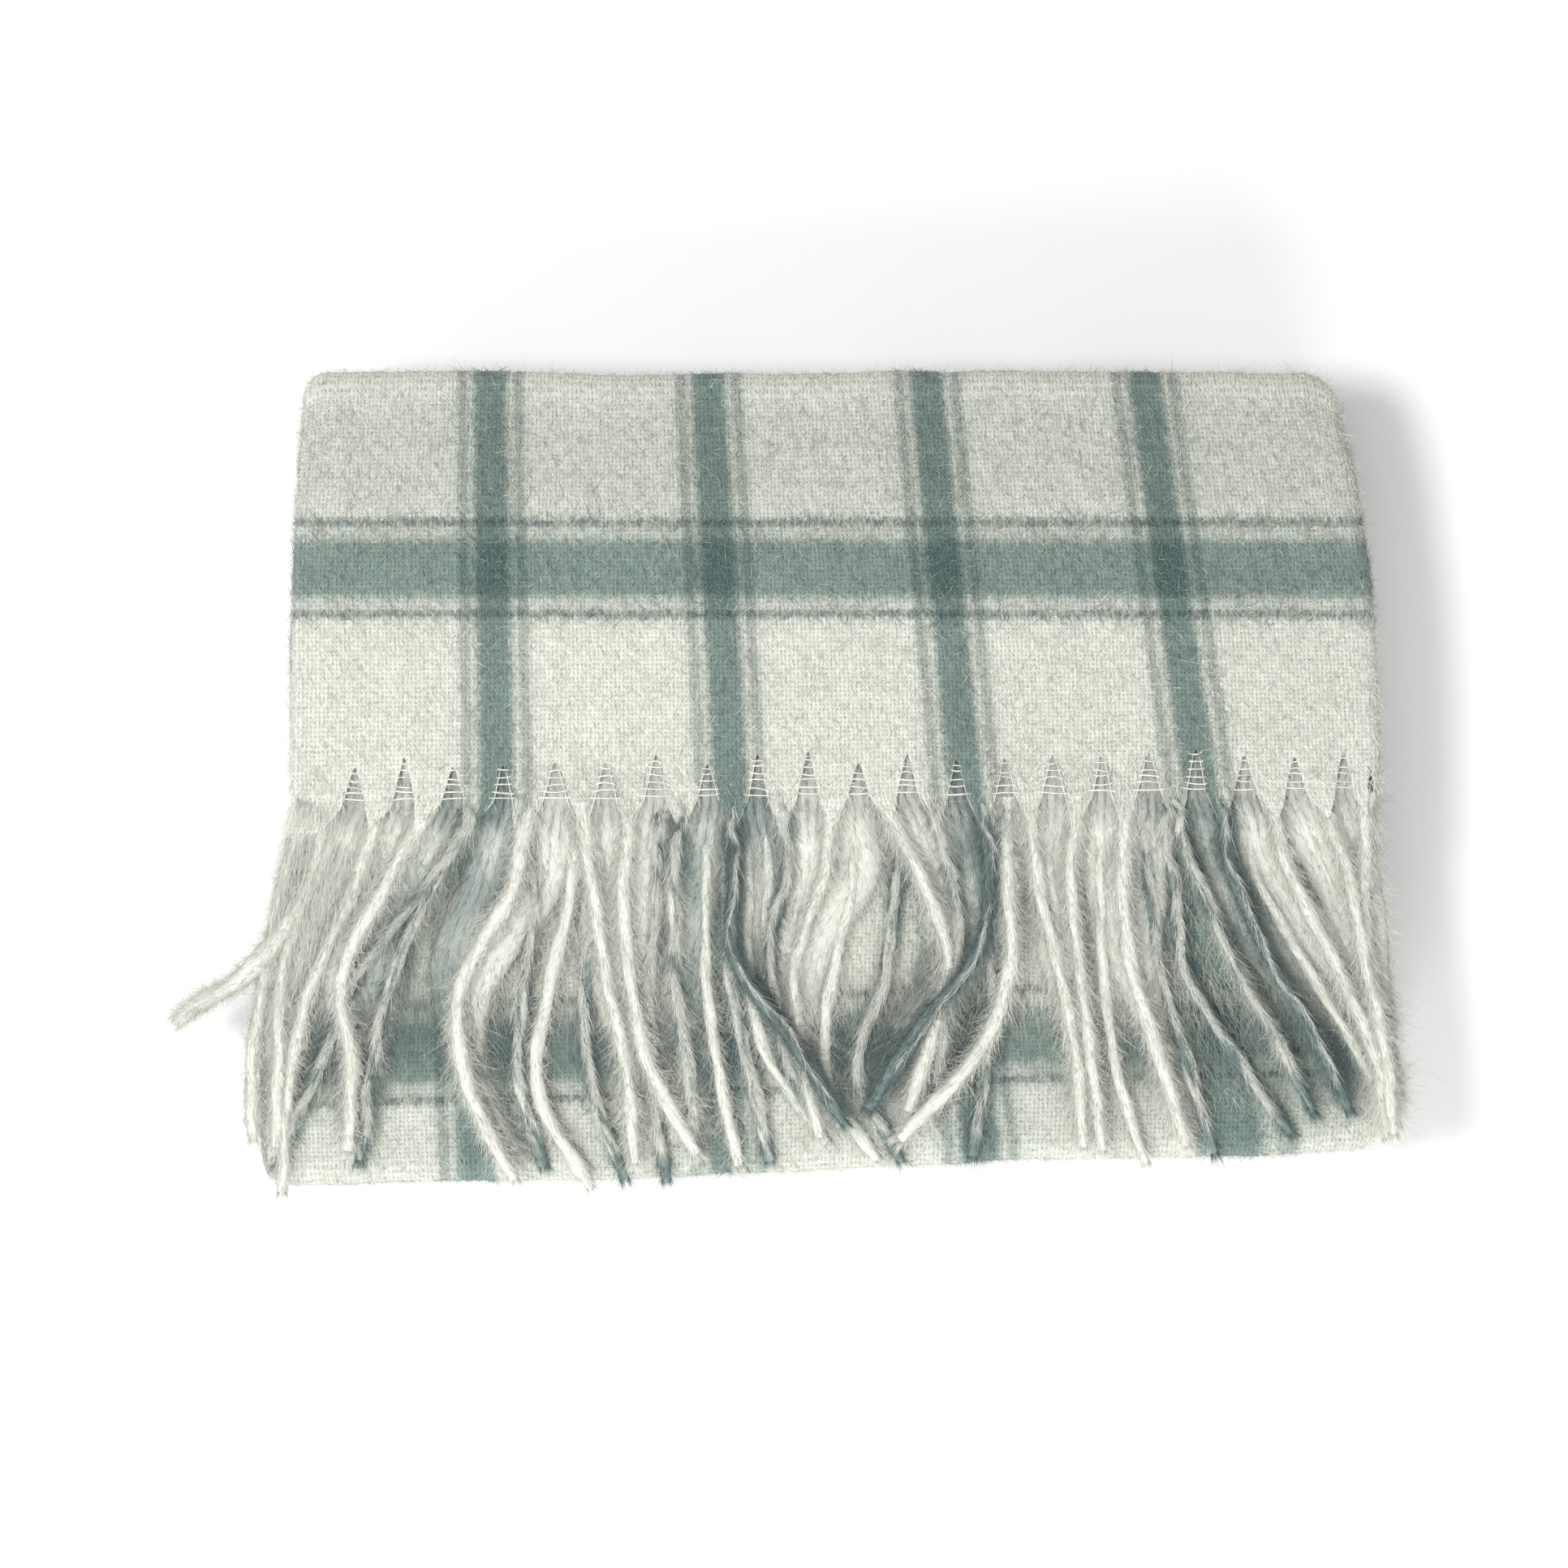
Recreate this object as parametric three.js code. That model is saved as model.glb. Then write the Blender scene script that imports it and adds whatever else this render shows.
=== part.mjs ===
// A brushed plaid throw blanket, folded up as it lies on a shelf.
// The cloth is folded in four across its width, which makes a strip four layers thick. The strip is folded
// to and fro into seven panels, and the last panel is a short flap whose hem carries the fringe.
// Millimetres. +X runs across the pack, +Y from the fringe towards the top fold, +Z up from the flat underside.
import * as THREE from 'three';

// Driving dimensions
const PANEL_PITCH = 8; // four layers of brushed cloth, lying loosely
const GAP = 0.3; // air between pieces that touch
const ROOT_GAP = 1.5; // the weft's last threads cross this much of the tassels' roots
const PANELS_UNDER_FLAP = 6;
const BACK_Y = 125; // outermost line of the folds at the back
const FRONT_Y = -125; // outermost line of the folds at the front
const FRONT_SLANT = 12; // the right end of the front folds lies this much further back
const HEM_Y = -6; // hem of the flap, where the top fringe starts
const CLOTH_IN_BOTTOM_PANEL = 131; // as much cloth as there is in the flap
const FRINGE_LENGTH = 112;
const TOP_RADIUS = 2.8; // tassels of the outermost layer
const UNDER_RADIUS = 2.3; // tassels of the layer beneath, squeezed flatter
const FAR_FRINGE_THICKNESS = 5; // the tassels of the other end, pressed flat under the pack
const EDGE_FLAT = 0.4; // half the height left upright in a plate's rounded edge
const STEPS_PER_QUARTER = 1.5; // of a swept tassel

// Heights
const PANEL_THICKNESS = PANEL_PITCH - GAP;
const LAP_Z = PANELS_UNDER_FLAP * PANEL_PITCH; // the flap and its fringe lie on this level
const UNDER_Z = LAP_Z + GAP + UNDER_RADIUS;
const TOP_Z = UNDER_Z + UNDER_RADIUS + GAP + TOP_RADIUS;

// The sides of the folded strip in plan, as [y, x] from back to front. The fringe end is spread a little.
const LEFT_SIDE = [[125, -164.5], [60, -167], [-10, -168], [-62, -179], [-125, -178]];
const RIGHT_SIDE = [[125, 155], [54, 165], [-36, 168], [-99, 174], [-125, 173]];

// Four of the cloth's stripes run into the hem, and the tassels twisted from them are teal.
const CREAM = 0xe4e4d8;
const TEAL = 0x7f9c98;
const STRIPE_X = [-102, -33, 41, 112];
const STRIPE_HALF_WIDTH = 10;

// A tassel is [root x, sideways moves of its four quarters]. Each quarter keeps its own length, so a quarter
// that moves sideways reaches less far forward.
const TOP_TASSELS = [
  [-155.7, [-7, -6, -4.8, -2]],
  [-140, [-9.5, -12.5, -4.5, -2]],
  [-125, [-14, -13, 3, -1.5]],
  [-110, [-15, -12, -5, -1.5]],
  [-94, [-6, -15.5, 2.5, 14]],
  [-78, [3.5, 4.5, 6, 2]],
  [-63, [-2, 2, 6, 13]],
  [-47, [-2.5, 0.5, 3.5, 9]],
  [-31, [0, 0.5, 17.5, 16]],
  [-16, [1.5, -5.5, 0, 0]],
  [0, [-3.5, -8.5, 2, 0]],
  [15, [10.5, 7.5, -1, 0]],
  [30, [6, 3.5, 0, 0]],
  [45.5, [2, -1.5, -20.5, -15]],
  [60, [3, 5.5, 4, 3]],
  [75, [-1, 3, 3, 4]],
  [90, [-1, 3, 8.5, 8.5]],
  [104, [7.5, 10.5, 13.5, 12.5]],
  [119, [3.5, 10.5, 13, 8.5]],
  [134, [7, 11.5, 7, 4]],
  [150, [7.5, 5, 4, 3]],
  [164, [1.5, 3.5, 4, 3]],
];
// Tassels that run on under a crossing neighbour end at the crossing here: row index and quarters kept.
const QUARTERS_KEPT = { 9: 2, 10: 2.6, 11: 2.1, 12: 1.9 };

const UNDER_TASSELS = [
  [-114.5, [-12.5, -21, -12, -12]],
  [-92, [0, -4, -1.5, 7]],
  [-80.5, [-0.5, -7, -3, 14]],
  [-73, [-0.5, -3.5, 2, 9]],
  [-54, [-1, -2, 1, 4]],
  [-39.5, [-0.5, 0, 4.5, 6]],
  [-33, [-0.5, 1.5, 6, 6]],
  [-26.5, [-0.5, 1.5, 7, 15]],
  [-20.5, [-0.5, 1, 12, 20]],
  [5, [1, -5.5, -3, 0]],
  [20.5, [-1, -4, -8, 8]],
  [49, [-0.5, 1, -2.5, -3.5]],
  [66, [1, 3, 3, 2]],
  [82.5, [0, 1.5, 4, 9]],
  [95, [2, 3, 6, 13]],
  [101.5, [3.5, 4, 13, 18]],
  [126, [4.5, 14, 16, 13]],
];
const UNDER_QUARTERS_KEPT = { 9: 2.8, 10: 3.4 };

// Two tassels of the deeper layers that work their way up between the top ones.
const RISEN_TASSELS = [
  [-163, [-7.5, -5, -5.5, -2]],
  [53.3, [1, 0, -10, -20]],
];

// The tassel that has slipped out over the left side: it runs under the others, over the side and down.
const STRAY_ROUTE = [[-148, 0, 0], [-163, -33, 0], [-182, -54, 0], [-197, -64, -9], [-206, -71, -20]];

function clothMaterial(color) {
  return new THREE.MeshStandardMaterial({ color, roughness: 0.95, metalness: 0 });
}

function piece(name, geometry, color) {
  const mesh = new THREE.Mesh(geometry, clothMaterial(color));
  mesh.name = name;
  return mesh;
}

// X of a side at a given y, on straight lines between the side's points
function sideX(side, y) {
  const next = side.findIndex(([at]) => at <= y);
  const i = Math.max(next, 1);
  const [yA, xA] = side[i - 1];
  const [yB, xB] = side[i];
  return THREE.MathUtils.mapLinear(y, yA, yB, xA, xB);
}

// Points of a side strictly between two y values, front to back
function sideBetween(side, front, back) {
  return side.filter(([y]) => y > front && y < back).map(([y, x]) => [x, y]).reverse();
}

// Plan outline of a panel between a front line and a back line, with rounded corners
function panelOutline(frontY, backY, slant, corner) {
  const leftFront = sideX(LEFT_SIDE, frontY);
  const rightFront = sideX(RIGHT_SIDE, frontY + slant);
  const leftBack = sideX(LEFT_SIDE, backY);
  const rightBack = sideX(RIGHT_SIDE, backY);
  const shape = new THREE.Shape();
  shape.moveTo(leftFront + corner, frontY);
  shape.lineTo(rightFront - corner, frontY + slant);
  shape.quadraticCurveTo(rightFront, frontY + slant, rightFront, frontY + slant + corner);
  for (const [x, y] of sideBetween(RIGHT_SIDE, frontY + slant + corner, backY - corner)) shape.lineTo(x, y);
  shape.lineTo(sideX(RIGHT_SIDE, backY - corner), backY - corner);
  shape.quadraticCurveTo(rightBack, backY, rightBack - corner, backY);
  shape.lineTo(leftBack + corner, backY);
  shape.quadraticCurveTo(leftBack, backY, sideX(LEFT_SIDE, backY - corner), backY - corner);
  const leftPoints = sideBetween(LEFT_SIDE, frontY + corner, backY - corner).reverse();
  for (const [x, y] of leftPoints) shape.lineTo(x, y);
  shape.lineTo(sideX(LEFT_SIDE, frontY + corner), frontY + corner);
  shape.quadraticCurveTo(leftFront, frontY, leftFront + corner, frontY);
  return shape;
}

// A flat plate with rounded edges, its underside at z = bottom
function plate(shape, thickness, bottom) {
  const round = thickness / 2 - EDGE_FLAT;
  const geometry = new THREE.ExtrudeGeometry(shape, {
    depth: thickness - 2 * round,
    bevelThickness: round,
    bevelSize: round,
    bevelOffset: -round,
    bevelSegments: 2,
    curveSegments: 3,
  });
  geometry.translate(0, 0, bottom + round);
  return geometry;
}

function tasselSection(radius) {
  const corners = [];
  for (let i = 0; i < 6; i += 1) {
    const angle = (i * Math.PI) / 3;
    corners.push(new THREE.Vector2(radius * Math.cos(angle), radius * Math.sin(angle)));
  }
  return new THREE.Shape(corners);
}

function tube(points, radius, steps) {
  return new THREE.ExtrudeGeometry(tasselSection(radius), {
    extrudePath: new THREE.CatmullRomCurve3(points),
    steps,
    bevelEnabled: false,
  });
}

// Route of a tassel from the hem forward, lying at one height
function tasselRoute([rootX, moves], z, quartersKept) {
  const quarter = FRINGE_LENGTH / 4;
  let x = rootX;
  let y = HEM_Y - ROOT_GAP;
  const points = [new THREE.Vector3(x, y, z)];
  moves.forEach((move, i) => {
    const share = THREE.MathUtils.clamp(quartersKept - i, 0, 1);
    if (share === 0) return;
    x += move * share;
    y -= Math.sqrt(quarter ** 2 - move ** 2) * share;
    points.push(new THREE.Vector3(x, y, z));
  });
  return points;
}

function tassel(name, layout, radius, z, quartersKept) {
  const steps = Math.round(STEPS_PER_QUARTER * quartersKept);
  return piece(name, tube(tasselRoute(layout, z, quartersKept), radius, steps), tasselColor(layout[0]));
}

function tasselColor(x) {
  return STRIPE_X.some((stripe) => Math.abs(x - stripe) < STRIPE_HALF_WIDTH) ? TEAL : CREAM;
}

function numbered(stem, index) {
  return `${stem}_${String(index + 1).padStart(2, '0')}`;
}

// The six panels under the flap, from the bottom one up, and the fringe that lies flat behind the bottom one
function buildPack() {
  const names = ['second_panel', 'third_panel', 'fourth_panel', 'fifth_panel', 'upper_panel'];
  const pack = new THREE.Group();
  const bottomBackY = FRONT_Y + CLOTH_IN_BOTTOM_PANEL;
  const bottomShape = panelOutline(FRONT_Y, bottomBackY, FRONT_SLANT, 6);
  pack.add(piece('bottom_panel', plate(bottomShape, PANEL_THICKNESS, 0), CREAM));
  names.forEach((name, i) => {
    const shape = panelOutline(FRONT_Y, BACK_Y, FRONT_SLANT, 12);
    pack.add(piece(name, plate(shape, PANEL_THICKNESS, (i + 1) * PANEL_PITCH), CREAM));
  });
  const farShape = panelOutline(bottomBackY + GAP, bottomBackY + FRINGE_LENGTH, 0, 6);
  pack.add(piece('far_end_fringe', plate(farShape, FAR_FRINGE_THICKNESS, 0), CREAM));
  return pack;
}

function buildFlap() {
  const flap = new THREE.Group();
  const shape = panelOutline(HEM_Y, BACK_Y, 2, 8);
  flap.add(piece('front_flap_panel', plate(shape, PANEL_THICKNESS, LAP_Z), CREAM));
  return flap;
}

function buildFringe() {
  const fringe = new THREE.Group();
  TOP_TASSELS.forEach((layout, i) => {
    const name = numbered('top_tassel', i);
    const kept = QUARTERS_KEPT[i] ?? 4;
    fringe.add(tassel(name, layout, TOP_RADIUS, TOP_Z, kept));
  });
  UNDER_TASSELS.forEach((layout, i) => {
    const name = numbered('under_tassel', i);
    const kept = UNDER_QUARTERS_KEPT[i] ?? 4;
    fringe.add(tassel(name, layout, UNDER_RADIUS, UNDER_Z, kept));
  });
  RISEN_TASSELS.forEach((layout, i) => {
    const name = numbered('risen_tassel', i);
    fringe.add(tassel(name, layout, UNDER_RADIUS, TOP_Z, 4));
  });
  const stray = STRAY_ROUTE.map(([x, y, z]) => new THREE.Vector3(x, HEM_Y - ROOT_GAP + y, UNDER_Z + z));
  fringe.add(piece('stray_tassel', tube(stray, UNDER_RADIUS, 8), CREAM));
  return fringe;
}

const blanket = new THREE.Group();
blanket.add(buildPack());
blanket.add(buildFlap());
blanket.add(buildFringe());

export default blanket;
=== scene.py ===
"""Visual model of a brushed plaid throw blanket, folded up with its fringe towards the viewer.

The cloth is one sheet, 1.30 m wide and 1.50 m long between its fringes. It is folded in four
across its width (both edges to the middle, then in half) and that strip is folded to and fro into
seven panels. It is made in three lengths. Lengths in the code are in millimetres, and MM turns
them into metres where meshes are made. X runs across the pack, Y from the fringe to the top fold,
Z up.
"""

import math

import bpy
import numpy as np
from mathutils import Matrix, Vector
from numpy.random import default_rng


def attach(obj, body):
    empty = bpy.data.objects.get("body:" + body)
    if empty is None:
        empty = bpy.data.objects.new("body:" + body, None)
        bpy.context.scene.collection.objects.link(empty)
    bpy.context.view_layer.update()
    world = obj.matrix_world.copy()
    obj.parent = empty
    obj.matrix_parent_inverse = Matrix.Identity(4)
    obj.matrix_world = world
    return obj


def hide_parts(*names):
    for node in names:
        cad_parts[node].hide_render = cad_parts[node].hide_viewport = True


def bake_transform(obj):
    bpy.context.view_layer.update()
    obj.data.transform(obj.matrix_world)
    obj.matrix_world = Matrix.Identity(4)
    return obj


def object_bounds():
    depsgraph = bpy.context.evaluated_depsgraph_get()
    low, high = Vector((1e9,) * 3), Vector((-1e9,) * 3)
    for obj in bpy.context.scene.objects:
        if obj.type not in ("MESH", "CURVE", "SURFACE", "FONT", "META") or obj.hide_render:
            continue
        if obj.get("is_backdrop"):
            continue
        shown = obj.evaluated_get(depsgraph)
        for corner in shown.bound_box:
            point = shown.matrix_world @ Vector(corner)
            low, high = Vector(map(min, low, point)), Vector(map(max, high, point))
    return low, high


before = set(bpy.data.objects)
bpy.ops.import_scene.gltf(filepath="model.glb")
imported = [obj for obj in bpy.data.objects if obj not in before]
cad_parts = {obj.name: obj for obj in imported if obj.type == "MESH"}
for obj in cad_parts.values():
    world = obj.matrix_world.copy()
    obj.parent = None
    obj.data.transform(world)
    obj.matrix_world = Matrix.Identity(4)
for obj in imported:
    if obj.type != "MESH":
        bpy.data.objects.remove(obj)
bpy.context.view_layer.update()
scene = bpy.context.scene
MM = 0.001

# ---- camera, light and floor

CAMERA_AIM = (-15.5, -2.75)
LENS = 85.0
SENSOR = 36.0
FRAME_WIDTH = 483.0  # of the view, at the height of the pack's top
TOP_OF_PACK = 56.0

camera_data = bpy.data.cameras.new("camera")
camera_data.lens = LENS
camera_data.sensor_width = SENSOR
camera_data.clip_end = 50
camera = bpy.data.objects.new("camera", camera_data)
scene.collection.objects.link(camera)
scene.camera = camera
height = TOP_OF_PACK + FRAME_WIDTH * LENS / SENSOR
camera.location = (CAMERA_AIM[0] * MM, CAMERA_AIM[1] * MM, height * MM)

scene.view_settings.view_transform = "Standard"
world = bpy.data.worlds.new("studio")
scene.world = world
world.use_nodes = True
background = world.node_tree.nodes["Background"].inputs
background["Color"].default_value = (1, 1, 1, 1)
background["Strength"].default_value = 0.47


def softbox(name, place, size, watts):
    light = bpy.data.lights.new(name, "AREA")
    light.shape = "DISK"
    light.size = size
    light.energy = watts
    o = bpy.data.objects.new(name, light)
    scene.collection.objects.link(o)
    o.location = place
    o.rotation_euler = (-Vector(place)).to_track_quat("-Z", "Y").to_euler()


softbox("key_light", (-0.7, 0.05, 1.35), 0.45, 15.6)
softbox("front_fill", (0.1, -1.15, 0.65), 1.1, 15.5)


# ---- random fields


class Field:
    """A smooth random field in two directions, from -1 to 1, with one cell for each unit."""

    SIZE = 97

    def __init__(self, seed):
        self.grid = default_rng(seed).uniform(-1, 1, (self.SIZE, self.SIZE))

    def __call__(self, x, y):
        x, y = np.broadcast_arrays(np.asarray(x, float), np.asarray(y, float))
        i, j = np.floor(x).astype(int), np.floor(y).astype(int)
        fx, fy = x - i, y - j
        fx, fy = fx * fx * (3 - 2 * fx), fy * fy * (3 - 2 * fy)
        i, j, n, g = i % self.SIZE, j % self.SIZE, self.SIZE, self.grid
        low = g[i, j] * (1 - fx) + g[(i + 1) % n, j] * fx
        high = g[i, (j + 1) % n] * (1 - fx) + g[(i + 1) % n, (j + 1) % n] * fx
        return low * (1 - fy) + high * fy


def smooth(x, low, high):
    t = np.clip((x - low) / (high - low), 0, 1)
    return t * t * (3 - 2 * t)


# ---- meshes


def mesh_object(name, points, faces, materials, slots=None, smooth_shaded=True, **fields):
    """faces is a list of arrays, one row for each face. fields are point attributes."""
    me = bpy.data.meshes.new(name)
    me.vertices.add(len(points))
    me.vertices.foreach_set("co", (np.asarray(points) * MM).astype(np.float32).ravel())
    counts = np.concatenate([np.full(len(f), f.shape[1]) for f in faces])
    corners = np.concatenate([f.ravel() for f in faces]).astype(np.int32)
    me.loops.add(len(corners))
    me.loops.foreach_set("vertex_index", corners)
    me.polygons.add(len(counts))
    me.polygons.foreach_set("loop_start", (np.cumsum(counts) - counts).astype(np.int32))
    if slots is not None:
        me.polygons.foreach_set("material_index", slots.astype(np.int32))
    me.update(calc_edges=True)
    me.polygons.foreach_set("use_smooth", np.full(len(counts), smooth_shaded))
    for key, value in fields.items():
        kind, part = ("FLOAT", "value") if value.ndim == 1 else ("FLOAT_VECTOR", "vector")
        a = me.attributes.new(key, kind, "POINT")
        a.data.foreach_set(part, value.astype(np.float32).ravel())
    me.validate()
    for m in materials:
        me.materials.append(m)
    o = bpy.data.objects.new(name, me)
    scene.collection.objects.link(o)
    return o


def grid_faces(rows, columns, closed=False):
    """Faces of a grid of points. closed joins the last column to the first."""
    last = columns if closed else columns - 1
    i, j = np.meshgrid(np.arange(rows - 1), np.arange(last), indexing="ij")
    a = i * columns + j
    b = i * columns + (j + 1) % columns
    return np.stack([a, b, b + columns, a + columns], -1).reshape(-1, 4)


# ---- materials


def material(name, roughness, sheen):
    m = bpy.data.materials.new(name)
    m.use_nodes = True
    shader = m.node_tree.nodes["Principled BSDF"]
    look = {"Roughness": roughness, "Sheen Weight": sheen, "Sheen Roughness": 0.6}
    for key, value in {**look, "Specular IOR Level": 0.15}.items():
        shader.inputs[key].default_value = value
    return m, shader


class Nodes:
    """Short ways to add nodes to a material. A value may be a number or another node's output."""

    def __init__(self, m):
        self.tree = m.node_tree

    def put(self, socket, value):
        if isinstance(value, bpy.types.NodeSocket):
            self.tree.links.new(value, socket)
        elif value is not None:
            socket.default_value = value

    def add(self, kind, inputs, **settings):
        """The outputs of a new node. inputs are by name, or else in the node's own order."""
        n = self.tree.nodes.new("ShaderNode" + kind)
        for key, value in settings.items():
            setattr(n, key, value)
        for key, value in inputs.items() if isinstance(inputs, dict) else enumerate(inputs):
            self.put(n.inputs[key], value)
        return n.outputs

    def math(self, operation, *values):
        return self.add("Math", values, operation=operation)[0]

    def attribute(self, name, output):
        return self.add("Attribute", (), attribute_name=name)[output]

    def split(self, vector):
        return self.add("SeparateXYZ", (vector,))

    def stretch(self, vector, factors):
        return self.add("VectorMath", (vector, factors), operation="MULTIPLY")[0]

    def noise(self, vector, scale, detail, roughness=0.5):
        """From about -1 to 1."""
        inputs = {"Vector": vector, "Scale": scale, "Detail": detail, "Roughness": roughness}
        n = self.add("TexNoise", inputs)
        return self.math("MULTIPLY", self.math("SUBTRACT", n["Fac"], 0.5), 3.0)

    def ramp(self, value, low, high, to_low=0.0, to_high=1.0):
        values = (value, low, high, to_low, to_high)
        return self.add("MapRange", values, interpolation_type="SMOOTHSTEP")["Result"]

    def mix(self, factor, a, b, blend="MIX"):
        inputs = {"Factor": factor, "A": a, "B": b}
        return self.add("Mix", inputs, data_type="RGBA", blend_type=blend)["Result"]

    def grey(self, value):
        return self.add("CombineColor", (value,) * 3)[0]

    def bump(self, height, distance, strength):
        inputs = {"Strength": strength, "Distance": distance, "Height": height}
        return self.add("Bump", inputs)["Normal"]


CREAM = (0.66, 0.665, 0.595)
YARN_CREAM = (0.79, 0.795, 0.725)
# what each part of the plaid does to the cream
TEAL_ACROSS = (0.42, 0.53, 0.53)  # the horizontal bands
TEAL_DOWN = (0.31, 0.41, 0.415)  # the vertical stripes
GREY_THREAD = (0.48, 0.54, 0.55)  # the thin lines beside the stripes
BAND_THREAD = (0.30, 0.35, 0.37)  # the dashed lines beside the bands
PAINTED_SHADE_TINT = (0.83, 0.855, 0.85)  # painted shade: the ground is painted greyer on one side of each band, for the shade on the flap's upper part towards the top fold
# millimetres
STRIPE_PITCH = 70.0
BAND_PITCH = 133.9
THREAD = 1.25  # from one thread to the next
STRIPE_EDGE = 3.6, 7.2  # from a stripe's middle: where it starts to fade, and where it ends
BAND_EDGE = 7.0, 10.8
STRIPE_LINE = 9.0  # how far the thin line lies from the middle
BAND_LINE = 14.2


def cloth_material():
    m, shader = material("brushed_plaid", 0.92, 0.15)
    k = Nodes(m)
    weave = k.attribute("weave", "Vector")  # millimetres of cloth
    plaid = k.split(k.attribute("plaid", "Vector"))  # whole numbers at each stripe
    along = k.split(weave)
    streak = k.noise(k.stretch(weave, (1.0, 0.22, 1.0)), 1.1, 3)
    fluff = k.noise(weave, 0.55, 3, 0.6)

    def distance(coordinate, pitch):
        return k.math("MULTIPLY", k.math("PINGPONG", coordinate, 0.5), pitch)

    across = k.math("ADD", distance(plaid[0], STRIPE_PITCH), k.math("MULTIPLY", fluff, 1.3))
    down = k.math("ADD", distance(plaid[1], BAND_PITCH), k.math("MULTIPLY", streak, 1.5))
    stripe = k.ramp(across, *STRIPE_EDGE, 1, 0)
    band = k.ramp(down, *BAND_EDGE, 1, 0)
    from_line = k.math("ABSOLUTE", k.math("SUBTRACT", across, STRIPE_LINE))
    stripe_thread = k.ramp(from_line, 0.6, 2.6, 0.85, 0)
    dashes = k.ramp(k.noise(k.stretch(weave, (0.5, 0.2, 1)), 1.0, 1), -0.5, 0.5, 0.5, 1.0)
    from_line = k.math("ABSOLUTE", k.math("SUBTRACT", down, BAND_LINE))
    band_thread = k.math("MULTIPLY", k.ramp(from_line, 0.4, 2.1, 1.0, 0), dashes)
    halo = k.math("MAXIMUM", k.ramp(across, 5, 17, 0.2, 0), k.ramp(down, 11, 19, 0.42, 0))
    colour = k.mix(stripe, CREAM + (1,), tuple(c * t for c, t in zip(CREAM, TEAL_DOWN)) + (1,))
    # painted shade: the ground is painted greyer on one side of each band, for the shade on the
    # flap's upper part towards the top fold; it repeats beyond every band
    beyond = k.math("FRACT", plaid[1])
    painted_shade = k.math("MULTIPLY", k.ramp(beyond, 0.03, 0.2), k.ramp(beyond, 0.34, 0.47, 1.0, 0.0))
    masks = painted_shade, halo, band, stripe_thread, band_thread
    tints = PAINTED_SHADE_TINT, TEAL_ACROSS, TEAL_ACROSS, GREY_THREAD, BAND_THREAD
    for mask, tint in zip(masks, tints):
        colour = k.mix(mask, colour, k.mix(1.0, colour, tint + (1,), "MULTIPLY"))

    # plain weave: threads round off between small gaps, which the nap half hides; the gaps are
    # painted darker, as painted shade
    wander = k.math("MULTIPLY", k.noise(weave, 0.3, 3, 0.7), 1.6)
    column = k.math("ADD", k.math("MULTIPLY", along[0], 2 * math.pi / THREAD), wander)
    row = k.math("ADD", k.math("MULTIPLY", along[1], 2 * math.pi / (THREAD * 1.1)), wander)
    warp = k.math("MULTIPLY_ADD", k.math("SINE", column), 0.5, 0.5)
    weft = k.math("MULTIPLY_ADD", k.math("SINE", row), 0.5, 0.5)
    gap = k.math("MULTIPLY", k.ramp(warp, 0.4, 1.0), k.ramp(weft, 0.1, 1.0, 0.15, 1.0))
    openness = k.math(
        "MULTIPLY",
        k.ramp(k.noise(weave, 0.12, 3, 0.6), -0.9, 0.9, 0.2, 0.44),
        k.ramp(k.noise(k.stretch(weave, (1.0, 0.7, 1)), 0.8, 2), -0.6, 0.7, 0.0, 1.0),
    )
    openness = k.math("MULTIPLY", openness, k.ramp(along[1], -4, 30, 0.5, 1.0))
    shade = k.math("SUBTRACT", 1.0, k.math("MULTIPLY", gap, openness))
    mottle = k.math("MULTIPLY_ADD", k.noise(weave, 0.06, 3), 0.035, 1.0)
    fine = k.math("MULTIPLY_ADD", streak, 0.06, 1.0)
    tone = k.math("MULTIPLY", k.math("MULTIPLY", shade, mottle), fine)
    k.put(shader.inputs["Base Color"], k.mix(1.0, colour, k.grey(tone), "MULTIPLY"))
    height = k.math("SUBTRACT", k.math("MULTIPLY", fluff, 0.4), gap)
    k.put(shader.inputs["Normal"], k.bump(height, 0.0005, 0.7))
    return m


def yarn_material():
    m, shader = material("brushed_yarn", 0.92, 0.15)
    k = Nodes(m)
    yarn = k.attribute("yarn", "Vector")  # along, around and how teal
    tone = k.split(yarn)[2]
    streak = k.noise(k.stretch(yarn, (0.16, 1.0, 0.0)), 1.6, 3, 0.6)
    soft = k.noise(k.stretch(yarn, (1.0, 0.6, 0.0)), 0.22, 2)
    teal = k.ramp(k.math("ADD", tone, k.math("MULTIPLY", streak, 0.16)), 0.15, 0.85)
    dark = k.mix(k.ramp(soft, -0.8, 0.8), (0.15, 0.21, 0.205, 1), (0.28, 0.35, 0.33, 1))
    colour = k.mix(teal, YARN_CREAM + (1,), dark)
    value = k.math("MULTIPLY_ADD", streak, 0.10, 1.0)
    # the shade attribute multiplies the colour; it holds painted shade, darker down each rope's
    # sides and darker all over on the deeper tassels
    value = k.math("MULTIPLY", value, k.attribute("shade", "Fac"))
    k.put(shader.inputs["Base Color"], k.mix(1.0, colour, k.grey(value), "MULTIPLY"))
    k.put(shader.inputs["Normal"], k.bump(streak, 0.0006, 0.6))
    return m


def fibre_material(name, colour):
    m, shader = material(name, 0.9, 0.12)
    shader.inputs["Base Color"].default_value = colour + (1,)
    return m


CLOTH = cloth_material()
YARN = yarn_material()
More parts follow.
